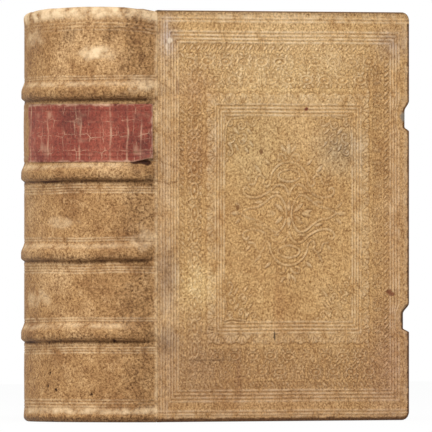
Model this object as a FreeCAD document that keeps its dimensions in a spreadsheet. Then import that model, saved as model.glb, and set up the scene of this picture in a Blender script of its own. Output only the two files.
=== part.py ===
import FreeCAD, Part
import math
import os
import re
import Sketcher

# An old leather-bound quarto, standing on its tail edges.
# Spine at -X, front cover facing -Y, origin under the middle of the book. Millimetres.

SIZES = {
    # covers
    "height": 206.0,
    "cover_width": 160.5,
    "thickness": 96.5,
    "leather": 1.0,
    "board": 5.0,
    "turn_in": 0.8,
    "turn_in_width": 16.0,
    "edge_bevel": 2.0,
    "board_start": 3.0,
    "joint_gap": 0.15,
    # spine
    "spine_round": 0.5321,
    "spine_leather": 1.2,
    "lining": 1.0,
    "glue_line": 0.25,
    "band_height": 3.0,
    "band_base": 5.4,
    "band_shoulder": 4.2,
    "band_top": 2.2,
    "band_one_share": 0.801,
    "band_two_share": 0.6024,
    "band_three_share": 0.4107,
    "band_four_share": 0.2146,
    "cord_base": 4.6,
    "cord_top": 1.4,
    "cap_rise": 2.0,
    "cap_fall": 2.4,
    "cap_proud": 0.65,
    "cap_depth": 4.55,
    "cap_corner": 1.3,
    "cap_clearance": 0.4,
    "sweep": 150.0,
    # text block, endpapers and endbands
    "square": 3.5,
    "shoulder_inset": 2.25,
    "shoulder_run": 2.1,
    "fore_edge_hollow": 18.0,
    "sheet": 0.4,
    "paste_margin": 6.0,
    "closed_gap": 0.3,
    "endband_radius": 1.5,
    "endband_inset": 6.6,
    # title label
    "label_thickness": 0.5,
    "label_margin": 0.3,
    "label_half_angle": 67.0,
    # clasp notches in the front fore-edge
    "upper_notch_low": 145.8,
    "upper_notch_high": 161.3,
    "upper_notch_depth": 2.9,
    "lower_notch_low": 44.3,
    "lower_notch_high": 59.1,
    "lower_notch_depth": 3.9,
    "notch_step": 1.8,
    "notch_slope": 3.2,
    # lacing
    "slip_length": 22.0,
    "slip_half": 3.5,
    "slip_thickness": 2.0,
    "slip_start": 1.2,
    "peg_radius": 2.4,
    "peg_from_joint": 18.0,
}

BANDS = ["band_one", "band_two", "band_three", "band_four"]

# what follows from the sizes above; arc_back runs from the joint to the centre of the spine's arc
DERIVED = {
    "spine_radius": "(thickness * spine_round)",
    "arc_back": "sqrt(spine_radius^2 - thickness^2 / 4)",
    "joint_x": "((spine_radius - arc_back + band_height - cover_width) / 2)",
    "centre_x": "(joint_x + arc_back)",
    "inner_radius": "(spine_radius - spine_leather)",
    "block_radius": "(inner_radius - lining)",
    "block_half": "(thickness / 2 - leather - board - turn_in - 2 * sheet - closed_gap)",
    "block_fore_edge": "(cover_width - square - arc_back)",
    "shoulder_half": "(thickness / 2 - shoulder_inset)",
    "block_top": "(height - square)",
    "cap_top": "(height + cap_rise)",
    "band_one": "(height * band_one_share)",
    "band_two": "(height * band_two_share)",
    "band_three": "(height * band_three_share)",
    "band_four": "(height * band_four_share)",
    "label_low": "(band_two + band_base + label_margin)",
    "label_high": "(band_one - band_base - label_margin)",
}

doc = FreeCAD.newDocument("OldBook")
dims = doc.addObject("Spreadsheet::Sheet", "Dims")
for row, (alias, value) in enumerate(SIZES.items(), start=1):
    dims.set("A%d" % row, alias.replace("_", " "))
    dims.set("B%d" % row, str(value))
    dims.setAlias("B%d" % row, alias)
doc.recompute()

volumes = []
ORIGIN = FreeCAD.Vector(0, 0, 0)
UP = FreeCAD.Vector(0, 0, 1)


def link(text):
    """Turns size names in an expression into references to the sheet."""
    def expand(match):
        word = match.group()
        if word in DERIVED:
            return link(DERIVED[word])
        return "Dims." + word if word in SIZES else word
    return re.sub(r"[a-z][a-z_]*", expand, text)


def bind(obj, prop, text):
    obj.setExpression(prop, link(text))


def new_body(label, x="0", y="0", z="0"):
    body = doc.addObject("PartDesign::Body", label)
    body.Label = label
    for axis, text in zip("xyz", (x, y, z)):
        if text != "0":
            bind(body, "Placement.Base." + axis, text)
    return body


def origin_feature(body, role):
    return [f for f in body.Origin.OriginFeatures if f.Role == role][0]


def new_sketch(body, name, plane, offset="0"):
    """A sketch on one of the body's own planes, moved along its normal by offset."""
    sketch = body.newObject("Sketcher::SketchObject", name)
    sketch.AttachmentSupport = [(origin_feature(body, plane), "")]
    sketch.MapMode = "FlatFace"
    if offset != "0":
        bind(sketch, "AttachmentOffset.Base.z", offset)
    return sketch


def pin(sketch, geometry, point, x, y):
    """Holds a point of the sketch at x, y, given as expressions."""
    for kind, text in (("DistanceX", x), ("DistanceY", y)):
        index = sketch.addConstraint(Sketcher.Constraint(kind, -1, 1, geometry, point, 1.0))
        sketch.setExpression("Constraints[%d]" % index, link(text))


def add_polygon(sketch, corners):
    """A closed outline whose corners are pairs of expressions."""
    first = sketch.GeometryCount
    count = len(corners)
    start = [FreeCAD.Rotation(UP, 360.0 * i / count)
             .multVec(FreeCAD.Vector(10, 0, 0)) for i in range(count)]
    for i in range(count):
        sketch.addGeometry(Part.LineSegment(start[i], start[(i + 1) % count]), False)
    for i in range(count):
        sketch.addConstraint(
            Sketcher.Constraint("Coincident", first + i, 2, first + (i + 1) % count, 1))
    for i, (x, y) in enumerate(corners):
        pin(sketch, first + i, 1, x, y)


def pad(body, name, sketch, length, reverse=False):
    feature = body.newObject("PartDesign::Pad", name)
    feature.Profile = (sketch, [""])
    bind(feature, "Length", length)
    feature.Reversed = reverse
    return feature


def cut_through(body, name, sketch):
    """A pocket through the whole body; its volume is compared later."""
    before = body.Tip
    feature = body.newObject("PartDesign::Pocket", name)
    feature.Profile = (sketch, [""])
    feature.Type = "ThroughAll"
    feature.Midplane = True
    volumes.append((before, feature, -1))
    return feature


def revolve(body, name, sketch, angle, axis=None, groove=False):
    before = body.Tip
    kind = "PartDesign::Groove" if groove else "PartDesign::Revolution"
    feature = body.newObject(kind, name)
    feature.Profile = (sketch, [""])
    feature.ReferenceAxis = axis or (origin_feature(body, "Z_Axis"), [""])
    if not groove or angle != "360":
        feature.Midplane = True
    bind(feature, "Angle", angle)
    if before is not None:
        volumes.append((before, feature, -1 if groove else 1))
    return feature


def ring(label, corners, angle):
    """A piece of the spine made by turning an outline of (radius, z) about the arc's centre."""
    body = new_body(label, x="centre_x")
    sketch = new_sketch(body, label + "_section", "XZ_Plane")
    add_polygon(sketch, [("-(" + r + ")", z) for r, z in corners])
    revolve(body, label + "_turned", sketch, angle)
    return body


def trim_to_joints(body, inset):
    """Cuts a spine piece back to the two joints and to the planes of the covers."""
    far = "(spine_radius + 12)"
    side = "(thickness / 2 - " + inset + ")"
    stop = "-(arc_back + joint_gap + " + inset + ")"
    sketch = new_sketch(body, body.Label + "_joint_lines", "XY_Plane")
    add_polygon(sketch, [
        ("-" + far, "-" + side), (stop, "-" + side), (stop, side), ("-" + far, side),
        ("-" + far, far), ("0", far), ("0", "-" + far), ("-" + far, "-" + far)])
    return cut_through(body, body.Label + "_trim", sketch)


def band_points(band):
    """Corners of a raised band's leather, from its lower to its upper side."""
    steps = [("band_base", "0"), ("band_shoulder", "0.62 * band_height"),
             ("band_top", "band_height")]
    low = [("spine_radius + " + rise, band + " - " + half) for half, rise in steps]
    high = [("spine_radius + " + rise, band + " + " + half) for half, rise in reversed(steps)]
    return low + high


def make_spine_leather(cords):
    """The covering over the spine: shell, raised bands and rolled caps, hollowed for the cords."""
    body = new_body("spine_shell", x="centre_x")
    proud = "spine_radius + cap_proud"
    deep = "spine_radius - cap_depth"
    tail_roll = [(deep, "cap_corner"), (deep + " + cap_corner", "0"),
                 (proud + " - cap_corner", "0"), (proud, "cap_corner"),
                 (proud, "square"), ("spine_radius", "square + cap_corner")]
    head_roll = [("spine_radius", "height - square"), (proud, "height - square + cap_corner"),
                 (proud, "cap_top - cap_corner"), (proud + " - cap_corner", "cap_top"),
                 (deep + " + cap_corner", "cap_top"), (deep, "cap_top - cap_corner"),
                 (deep, "height - square + cap_clearance")]
    wall = []
    for band in reversed(BANDS):
        wall += band_points(band)
    inner = [("inner_radius", "height - square + cap_clearance")]
    for band in BANDS:
        inner += [("inner_radius", band + " + band_base"), ("inner_radius", band + " - band_base")]
    inner += [("inner_radius", "square - cap_clearance"), (deep, "square - cap_clearance")]
    section = new_sketch(body, "shell_section", "XZ_Plane")
    add_polygon(section, [("-(" + r + ")", z) for r, z in tail_roll + wall + head_roll + inner])
    shell = revolve(body, "shell", section, "sweep")

    # the head cap arches: its top falls from the middle of the spine to the joints
    slope = "cap_fall / (spine_radius + cap_proud - arc_back)"
    arch = new_sketch(body, "arch_line", "XZ_Plane")
    reach = "(spine_radius + 12)"
    add_polygon(arch, [("-" + reach, "cap_top + (12 - cap_proud) * " + slope),
                       ("0", "cap_top - (spine_radius + cap_proud) * " + slope),
                       ("0", "cap_top + 10"), ("-" + reach, "cap_top + 10")])
    arched = cut_through(body, "arch", arch)
    trimmed = trim_to_joints(body, "0")
    all_cords = doc.addObject("Part::MultiFuse", "all_cords")
    all_cords.Shapes = cords
    leather = doc.addObject("Part::Cut", "spine_leather")
    leather.Label = "spine_leather"
    leather.Base, leather.Tool = body, all_cords
    # the inner wall keeps one face for each panel between the bands
    for feature in (shell, arched, trimmed, leather):
        feature.Refine = False
    return leather


def roll_section(x, z, radius, sides):
    """A many-sided section for the endbands."""
    corners = []
    for i in range(sides):
        turn = math.radians(360.0 * (i + 0.5) / sides)
        corners.append(("%s + %.4f * %s" % (x, math.cos(turn), radius),
                        "%s + %.4f * %s" % (z, math.sin(turn), radius)))
    return corners


def make_cords():
    """The sewing supports, which the leather follows."""
    cords = []
    top = "inner_radius + band_height"
    for number, band in enumerate(BANDS, start=1):
        body = ring("band_cord_%d" % number,
                    [("block_radius", band + " - cord_base"), (top, band + " - cord_top"),
                     (top, band + " + cord_top"), ("block_radius", band + " + cord_base")],
                    "sweep - 10")
        trim_to_joints(body, "spine_leather")
        cords.append(body)
    return cords


def make_linings():
    edges = ["block_top"]
    for band in BANDS:
        edges += ["(" + band + " + band_base)", "(" + band + " - band_base)"]
    edges.append("square")
    linings = []
    inside, outside = "block_radius + glue_line", "inner_radius - glue_line"
    for number in range(5):
        high, low = edges[2 * number], edges[2 * number + 1]
        linings.append(ring("spine_lining_%d" % (number + 1),
                            [(inside, low), (outside, low), (outside, high), (inside, high)],
                            "sweep - 18"))
    return linings


def make_endband(label, height):
    body = new_body(label, x="centre_x")
    sketch = new_sketch(body, label + "_section", "XZ_Plane")
    add_polygon(sketch, roll_section("-(spine_radius - endband_inset)", height,
                                     "endband_radius", 6))
    revolve(body, label + "_turned", sketch, "sweep - 28")
    return body


def make_text_block():
    """All the leaves together: rounded spine, backed shoulders and hollow fore-edge."""
    body = new_body("text_block", x="centre_x", z="square")
    sketch = new_sketch(body, "text_block_plan", "XY_Plane")
    tip_x = "-sqrt(block_radius^2 - shoulder_half^2)"
    side_x = "(" + tip_x + " + shoulder_run)"
    fore_x = "block_fore_edge"
    radius = SIZES["thickness"] * SIZES["spine_round"]
    half, end = 0.84 * radius, SIZES["cover_width"]
    arc = Part.ArcOfCircle(Part.Circle(ORIGIN, UP, radius), math.radians(110), math.radians(250))
    hollow = Part.ArcOfCircle(Part.Circle(ORIGIN + FreeCAD.Vector(end + radius, 0, 0), UP, radius),
                              math.radians(130), math.radians(230))
    tip, side = -0.4 * radius, -0.3 * radius
    lines = [((tip, -radius), (side, -half)), ((side, -half), (end, -half)),
             ((end, half), (side, half)), ((side, half), (tip, radius))]
    sketch.addGeometry(arc, False)
    for a, b in lines:
        sketch.addGeometry(Part.LineSegment(FreeCAD.Vector(*a, 0), FreeCAD.Vector(*b, 0)), False)
    sketch.addGeometry(hollow, False)
    for pair in ((0, 2, 1, 1), (1, 2, 2, 1), (2, 2, 5, 2), (5, 1, 3, 1), (3, 2, 4, 1), (4, 2, 0, 1)):
        sketch.addConstraint(Sketcher.Constraint("Coincident", *pair))
    sketch.addConstraint(Sketcher.Constraint("Coincident", 0, 3, -1, 1))
    pin(sketch, 1, 1, tip_x, "-shoulder_half")
    pin(sketch, 1, 2, side_x, "-block_half")
    pin(sketch, 2, 2, fore_x, "-block_half")
    pin(sketch, 3, 1, fore_x, "block_half")
    pin(sketch, 3, 2, side_x, "block_half")
    index = sketch.addConstraint(Sketcher.Constraint("DistanceY", -1, 1, 4, 2, half))
    sketch.setExpression("Constraints[%d]" % index, link("shoulder_half"))
    reach = "(block_half^2 - fore_edge_hollow^2) / (2 * fore_edge_hollow)"
    index = sketch.addConstraint(Sketcher.Constraint("DistanceX", -1, 1, 5, 3, end))
    sketch.setExpression("Constraints[%d]" % index, link(fore_x + " + " + reach))
    pad(body, "text_block_pad", sketch, "height - 2 * square")
    return body


def make_flyleaf(label, sign):
    low, high = "block_half", "(block_half + sheet)"
    body = new_body(label, x="centre_x", z="square")
    sketch = new_sketch(body, label + "_plan", "XY_Plane")
    start = "-(arc_back - board_start)"
    end = "block_fore_edge"
    add_polygon(sketch, [(start, sign + low), (end, sign + low),
                         (end, sign + high), (start, sign + high)])
    pad(body, label + "_pad", sketch, "height - 2 * square")
    return body


def cover_outline(start, inset, notched):
    """Outline of a cover seen from its outer face, drawn in by inset at the three free edges."""
    edge = "cover_width - " + inset
    corners = [(start, inset), (edge, inset)]
    if notched:
        for name in ("lower_notch", "upper_notch"):
            floor = edge + " - " + name + "_depth"
            low = name + "_low - 0.8 * " + inset
            high = name + "_high + 0.9 * " + inset
            corners += [(edge, low), (floor, low + " + notch_step"),
                        (floor, high + " - notch_slope"), (edge, high)]
    return corners + [(edge, "height - " + inset), (start, "height - " + inset)]


def bevel_outer_edges(body, name, last, size, plane_y, start):
    """Bevels the outer face's edges at the head, tail and fore-edge, notches too."""
    doc.recompute()
    edges = []
    for index, edge in enumerate(last.Shape.Edges, start=1):
        box = edge.BoundBox
        flat = abs(box.YMin - plane_y) < 1e-4 and abs(box.YMax - plane_y) < 1e-4
        if flat and box.XMax > start + 1e-3:
            edges.append("Edge%d" % index)
    chamfer = body.newObject("PartDesign::Chamfer", name)
    chamfer.Base = (last, edges)
    bind(chamfer, "Size", size)
    volumes.append((last, chamfer, -1))


def make_cover(side, front):
    """Board, covering leather, pastedown, slips and pegs of one cover."""
    face = "thickness / 2"
    place = {"x": "joint_x", "y": ("-" if front else "") + face}
    inward = "-" if front else ""
    sign = 1.0 if front else -1.0

    blank = new_body(side + "_board_blank", **place)
    sketch = new_sketch(blank, side + "_board_outline", "XZ_Plane", inward + "leather")
    add_polygon(sketch, cover_outline("board_start", "leather", front))
    board_pad = pad(blank, side + "_board_pad", sketch, "board", reverse=front)
    bevel_outer_edges(blank, side + "_board_bevel", board_pad,
                      "edge_bevel - 0.586 * leather", sign * SIZES["leather"],
                      SIZES["board_start"])

    slips, pegs = [], []
    for number, band in enumerate(BANDS, start=1):
        slip = doc.addObject("Part::Box", "%s_slip_%d" % (side, number))
        slip.Label = "%s_slip_%d" % (side, number)
        bind(slip, "Length", "slip_length - slip_start")
        bind(slip, "Width", "slip_thickness")
        bind(slip, "Height", "2 * slip_half")
        bind(slip, "Placement.Base.x", "joint_x + slip_start")
        bind(slip, "Placement.Base.y", "-(thickness / 2 - leather)" if front
             else "thickness / 2 - leather - slip_thickness")
        bind(slip, "Placement.Base.z", band + " - slip_half")
        slips.append(slip)
        peg = doc.addObject("Part::Prism", "%s_peg_%d" % (side, number))
        peg.Polygon = 8
        peg.Label = "%s_peg_%d" % (side, number)
        peg.Placement = FreeCAD.Placement(
            FreeCAD.Vector(0, 0, 0), FreeCAD.Rotation(FreeCAD.Vector(1, 0, 0), 90))
        bind(peg, "Circumradius", "peg_radius")
        bind(peg, "Height", "board - slip_thickness")
        bind(peg, "Placement.Base.x", "joint_x + peg_from_joint")
        bind(peg, "Placement.Base.y", "-(thickness / 2 - leather - board)" if front
             else "thickness / 2 - leather - slip_thickness")
        bind(peg, "Placement.Base.z", band)
        pegs.append(peg)

    lacing = doc.addObject("Part::MultiFuse", side + "_lacing")
    lacing.Shapes = slips + pegs
    board = doc.addObject("Part::Cut", side + "_board")
    board.Label = side + "_board"
    board.Base, board.Tool = blank, lacing

    skin = new_body(side + "_skin", **place)
    sheet = new_sketch(skin, side + "_skin_outline", "XZ_Plane")
    add_polygon(sheet, cover_outline("joint_gap", "0", front))
    pad(skin, side + "_skin_sheet", sheet, "leather", reverse=front)
    wrap = new_sketch(skin, side + "_wrap_outline", "XZ_Plane")
    add_polygon(wrap, cover_outline("board_start", "0", front))
    wrap_pad = pad(skin, side + "_wrap", wrap, "leather + board + turn_in", reverse=front)
    window = new_sketch(skin, side + "_window_outline", "XZ_Plane",
                        inward + "(leather + board)")
    reach = "cover_width - turn_in_width"
    add_polygon(window, [("board_start - 1", "turn_in_width"), (reach, "turn_in_width"),
                         (reach, "height - turn_in_width"),
                         ("board_start - 1", "height - turn_in_width")])
    pocket = skin.newObject("PartDesign::Pocket", side + "_window")
    pocket.Profile = (window, [""])
    bind(pocket, "Length", "turn_in + 1")
    pocket.Reversed = not front
    volumes.append((wrap_pad, pocket, -1))
    bevel_outer_edges(skin, side + "_skin_bevel", pocket, "edge_bevel", 0.0,
                      SIZES["joint_gap"])
    leather = doc.addObject("Part::Cut", side + "_cover_leather")
    leather.Label = side + "_cover_leather"
    leather.Base, leather.Tool = skin, blank

    # endpaper pasted over the turn-ins, with the lining that fills their window
    paste = new_body(side + "_pastedown", **place)
    fill = new_sketch(paste, side + "_fill_outline", "XZ_Plane", inward + "(leather + board)")
    add_polygon(fill, [("board_start", "turn_in_width"), (reach, "turn_in_width"),
                       (reach, "height - turn_in_width"),
                       ("board_start", "height - turn_in_width")])
    pad(paste, side + "_fill", fill, "turn_in", reverse=front)
    top = new_sketch(paste, side + "_paste_outline", "XZ_Plane",
                     inward + "(leather + board + turn_in)")
    edge = "cover_width - paste_margin"
    add_polygon(top, [("board_start", "paste_margin"), (edge, "paste_margin"),
                      (edge, "height - paste_margin"), ("board_start", "height - paste_margin")])
    pad(paste, side + "_paste_sheet", top, "sheet", reverse=front)
    return [board, leather, paste] + slips + pegs


def make_label():
    inside = "spine_radius + glue_line"
    outside = inside + " + label_thickness"
    return ring("title_label",
                [(inside, "label_low"), (outside, "label_low"),
                 (outside, "label_high"), (inside, "label_high")], "2 * label_half_angle")


pieces = [make_text_block(), make_flyleaf("front_flyleaf", "-"), make_flyleaf("back_flyleaf", "")]
cords = make_cords()
pieces += make_linings() + cords
pieces += [make_endband("head_endband", "height - square + endband_radius"),
           make_endband("tail_endband", "square - endband_radius")]
pieces += [make_spine_leather(cords), make_label()]
pieces += make_cover("front", True) + make_cover("back", False)

doc.recompute()
for obj in doc.Objects:
    if "Invalid" in obj.State or "Error" in obj.State:
        raise RuntimeError("%s did not build: %s" % (obj.Name, obj.State))
for before, after, sign in volumes:
    change = (after.Shape.Volume - before.Shape.Volume) * sign
    if change <= 1e-3:
        raise RuntimeError("%s changed nothing" % after.Name)
for piece in pieces:
    shape = piece.Shape
    if shape.isNull() or not shape.isValid() or len(shape.Solids) != 1:
        raise RuntimeError("%s is not one valid solid (%d solids)"
                           % (piece.Label, len(shape.Solids)))

os.makedirs("parts", exist_ok=True)
for piece in pieces:
    piece.Shape.exportStep("parts/" + piece.Label + ".step")
    box = piece.Shape.BoundBox
    print("%-22s %7.1f mm3  x %.2f..%.2f  y %.2f..%.2f  z %.2f..%.2f" % (
        piece.Label, piece.Shape.Volume,
        box.XMin, box.XMax, box.YMin, box.YMax, box.ZMin, box.ZMax))
print(len(pieces), "pieces")
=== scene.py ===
import bpy
import bmesh
import numpy as np
from math import pi, radians
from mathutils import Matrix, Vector


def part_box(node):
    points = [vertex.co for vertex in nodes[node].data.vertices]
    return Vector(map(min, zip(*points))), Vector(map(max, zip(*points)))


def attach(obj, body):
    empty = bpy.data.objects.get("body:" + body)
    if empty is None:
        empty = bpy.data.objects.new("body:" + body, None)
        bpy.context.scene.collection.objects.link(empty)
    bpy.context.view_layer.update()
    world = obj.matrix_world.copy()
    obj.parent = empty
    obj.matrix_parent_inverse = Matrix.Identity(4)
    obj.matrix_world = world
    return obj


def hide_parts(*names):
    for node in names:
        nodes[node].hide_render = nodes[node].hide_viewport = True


# Looks for an old leather-bound quarto. The dictionaries are in millimetres, Blender's objects in metres.
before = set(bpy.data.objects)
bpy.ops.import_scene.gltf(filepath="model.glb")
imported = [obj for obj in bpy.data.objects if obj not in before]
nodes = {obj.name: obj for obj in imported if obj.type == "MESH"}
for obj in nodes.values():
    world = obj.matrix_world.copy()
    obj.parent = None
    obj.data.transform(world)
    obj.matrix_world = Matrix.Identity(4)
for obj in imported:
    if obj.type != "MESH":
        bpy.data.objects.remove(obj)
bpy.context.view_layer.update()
mm = 0.001
print("frame loaded:", len(nodes), "CAD pieces")

coverLow, coverHigh = [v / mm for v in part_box("front_cover_leather")]
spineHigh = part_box("spine_leather")[1] / mm
labelLow, labelHigh = [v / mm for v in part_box("title_label")]

book = {
    "height": coverHigh.z,                        # over the boards
    "halfThickness": -coverLow.y,                 # to the covers' outer faces
    "jointX": (coverLow.x + spineHigh.x) / 2,     # where covers and spine meet
    "foreEdgeX": coverHigh.x,
    "capTop": spineHigh.z,
    "spineRound": 0.5321,                         # spine radius as a share of the thickness
}
book["radius"] = 2 * book["halfThickness"] * book["spineRound"]
book["arcBack"] = (book["radius"] ** 2 - book["halfThickness"] ** 2) ** 0.5
book["centreX"] = book["jointX"] + book["arcBack"]
book["width"] = book["foreEdgeX"] - book["jointX"]
perDegree = 0.896                                 # mm round the spine for each degree

bands = {
    "heights": [165.3, 124.6, 84.7, 44.5], "halfWidths": [5.0, 4.8, 4.7, 4.9], "rise": 2.75, "slant": 0.006,
}


# Small helpers on arrays of places

def smooth(low, high, value):
    t = np.clip((value - low) / (high - low), 0, 1)
    return t * t * (3 - 2 * t)


def highest(fields):
    return np.maximum.reduce(fields)


def groove(distance, width):
    return np.exp(-(distance / width) ** 2)


def unevenness(x, y, size, seed):
    # gentle waves between -1 and 1, the same on every run
    lattice = np.random.default_rng(seed).uniform(-1, 1, (97, 97))
    gx, gy = x / size + 40, y / size + 40
    i, j = np.floor(gx).astype(int), np.floor(gy).astype(int)
    fx, fy = gx - i, gy - j
    fx, fy = fx * fx * (3 - 2 * fx), fy * fy * (3 - 2 * fy)
    i, j, i1, j1 = i % 97, j % 97, (i + 1) % 97, (j + 1) % 97
    low = lattice[i, j] * (1 - fx) + lattice[i1, j] * fx
    high = lattice[i, j1] * (1 - fx) + lattice[i1, j1] * fx
    return low * (1 - fy) + high * fy


def stations(start, end, fineRanges, fine, coarse):
    # places from start to end, close together inside the fine ranges
    x = np.linspace(start, end, 8000)
    step = np.full_like(x, coarse)
    for low, high in fineRanges:
        near = smooth(low - 1.2, low, x) * (1 - smooth(high, high + 1.2, x))
        step = np.minimum(step, coarse + (fine - coarse) * near)
    along = np.concatenate([[0], np.cumsum((x[1] - x[0]) / step[1:])])
    return np.interp(np.linspace(0, along[-1], int(along[-1]) + 2), along, x)


def nearLine(x, y, line):
    # distance from each place to a line through the given points
    best = np.full(x.shape, 1e9)
    for (ax, ay), (bx, by) in zip(line[:-1], line[1:]):
        dx, dy = bx - ax, by - ay
        t = np.clip(((x - ax) * dx + (y - ay) * dy) / (dx * dx + dy * dy + 1e-12), 0, 1)
        best = np.minimum(best, np.hypot(x - ax - t * dx, y - ay - t * dy))
    return best


def leaf(x, y, start, end, widest):
    # how deep each place lies inside a pointed leaf; negative outside
    dx, dy = end[0] - start[0], end[1] - start[1]
    t = ((x - start[0]) * dx + (y - start[1]) * dy) / (dx * dx + dy * dy)
    off = np.abs((x - start[0]) * dy - (y - start[1]) * dx) / np.hypot(dx, dy)
    inside = np.clip(t, 0, 1)
    return np.where((t > 0) & (t < 1), widest * np.sin(pi * inside ** 0.75) - off, -1.0)


def spiral(centre, outer, inner, startTurn, turns, points=44):
    t = np.linspace(0, 1, points)
    r = outer * (inner / outer) ** t
    a = 2 * pi * (startTurn + turns * t)
    return list(zip(centre[0] + r * np.cos(a), centre[1] + r * np.sin(a)))


def smoothLine(points, each=7):
    # a curve through the points, as a chain of short straight runs
    p = np.array([points[0], *points, points[-1]], float)
    t = np.linspace(0, 1, each, endpoint=False)[:, None]
    runs = [0.5 * (2 * b + (c - a) * t + (2 * a - 5 * b + 4 * c - d) * t ** 2
                   + (3 * b - a - 3 * c + d) * t ** 3)
            for a, b, c, d in zip(p[:-3], p[1:-2], p[2:-1], p[3:])]
    return np.vstack([*runs, p[-1:]])


# Mesh pieces

def newGrid(across, up):
    # a flat grid whose columns and rows stand at the given places
    bm = bmesh.new()
    bmesh.ops.create_grid(bm, x_segments=len(across) - 1, y_segments=len(up) - 1, size=1)
    co = np.array([v.co for v in bm.verts])
    i = np.rint((co[:, 0] + 1) / 2 * (len(across) - 1)).astype(int)
    j = np.rint((co[:, 1] + 1) / 2 * (len(up) - 1)).astype(int)
    return bm, across[i], up[j]


def moveVerts(bm, x, y, z):
    for vert, place in zip(bm.verts, np.stack([x, y, z], axis=1) * mm):
        vert.co = place


def addObject(name, data):
    thing = bpy.data.objects.new(name, data)
    bpy.context.scene.collection.objects.link(thing)
    return thing


def keepValues(bm, **values):
    # values that the materials read, stored on the mesh
    for name, array in values.items():
        layer = bm.verts.layers.float.new(name)
        for vert, value in zip(bm.verts, array):
            vert[layer] = value


def finishPiece(bm, name, body, replaced, material, flip=False):
    if flip:
        bmesh.ops.reverse_faces(bm, faces=bm.faces)
    mesh = bpy.data.meshes.new(name)
    bm.to_mesh(mesh)
    bm.free()
    mesh.shade_smooth()
    piece = addObject(name, mesh)
    mesh.materials.append(material)
    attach(piece, body)
    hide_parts(*replaced)
    print(name, "made:", len(mesh.polygons), "faces")
    return piece


def extrudeRow(bm, edges, move):
    # pulls a row of edges out and places its new vertices; gives the new row back
    made = bmesh.ops.extrude_edge_only(bm, edges=edges)["geom"]
    verts = [g for g in made if isinstance(g, bmesh.types.BMVert)]
    for vert in verts:
        vert.co = move(vert)
    fresh = set(verts)
    return [e for e in {e for v in verts for e in v.link_edges} if fresh.issuperset(e.verts)]


# Tooling of the covers: blind fillets, roll-stamped borders, corner pieces and a centrepiece.
# Each ornament function tells how far inside a raised shape a place lies, in millimetres.

tooling = {
    "outerFrame": (8.5, 11.2, 152.2, 194.6),      # left, low, right, high of its outermost line
    "innerFrame": (37.4, 45.4, 127.8, 158.2),
    "lineGap": 1.8,
    "lineWidth": 0.31,
    "lineDepth": 0.30,
    "ridge": 0.18,
    "jointLines": [1.5, 3.3, 5.1],
    "edgeLines": [2.9, 4.5],
    "centre": (82.9, 104.4),
    "cornerSize": 19.0,
    "palmette": {"high": 6.5, "pitch": 7.4},
    "ovalRow": {"high": 9.8, "pitch": 11.4},
    "leafRow": {"high": 5.0, "pitch": 4.7},
    "outline": 0.46,                              # depth of the grooves round the ornament
    "relief": 0.22,
}


def frameDistance(u, z, frameLines):
    left, low, right, high = frameLines
    return np.maximum(np.maximum(left - u, u - right), np.maximum(low - z, z - high))


def filletLines(u, z):
    # the pressed lines, and the ridges that they leave between them
    lines, ridges = [], []
    gap, wide = tooling["lineGap"], tooling["lineWidth"]
    for frameLines in (tooling["outerFrame"], tooling["innerFrame"]):
        d = frameDistance(u, z, frameLines)
        lines += [groove(d + k * gap, wide) for k in range(3)]
        ridges += [groove(d + (k - 0.5) * gap, 0.5) for k in range(4)]
    for place in tooling["jointLines"]:
        lines.append(0.8 * groove(u - place, wide))
        ridges.append(groove(u - place - gap / 2, 0.5))
    nearEnd = np.minimum(z, book["height"] - z)
    for inset in tooling["edgeLines"]:
        lines += [0.8 * groove(nearEnd - inset, wide), 0.4 * groove(book["width"] - u - inset, wide)]
        ridges.append(groove(nearEnd - inset - gap / 2, 0.5))
    return highest(lines), highest(ridges)


def palmetteCell(x, y, high):
    # a fan of petals over a small root, with a curl at each foot
    angle, r = np.arctan2(x, y + 0.5), np.hypot(x, y + 0.5)
    petal = np.rint(angle / 0.46) * 0.46
    reach = high * (0.80 + 0.16 * np.cos(petal))
    petals = np.minimum(reach - r, (0.23 - np.abs(angle - petal)) * r - 0.10)
    petals = np.where((np.abs(angle) < 1.5) & (r > 0.22 * high), petals, -1)
    root = 0.20 * high - r
    curl = 0.34 - nearLine(np.abs(x), y, spiral((0.46 * high, 0.10 * high), 0.95, 0.25, 0.2, 1.1, 14))
    return highest([petals, root, curl])


def ovalCell(x, y):
    # a rimmed oval with leaves curling away from its four quarters
    a, b = np.abs(x), np.abs(y)
    parts = [0.42 - np.abs(np.hypot(a / 1.75, b) - 2.25), 0.75 - np.hypot(a / 1.9, b)]
    for start, end, wide in (((3.4, 1.6), (5.3, 4.5), 0.62), ((0.3, 3.2), (3.1, 4.7), 0.60),
                             ((4.9, 0.5), (5.6, 2.9), 0.50), ((1.9, 2.9), (0.4, 4.7), 0.45)):
        parts.append(leaf(a, b, start, end, wide))
    parts.append(0.40 - np.hypot(a - 5.6, b))
    return highest(parts)


def repeated(x, pitch):
    return (x + pitch / 2) % pitch - pitch / 2


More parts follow.
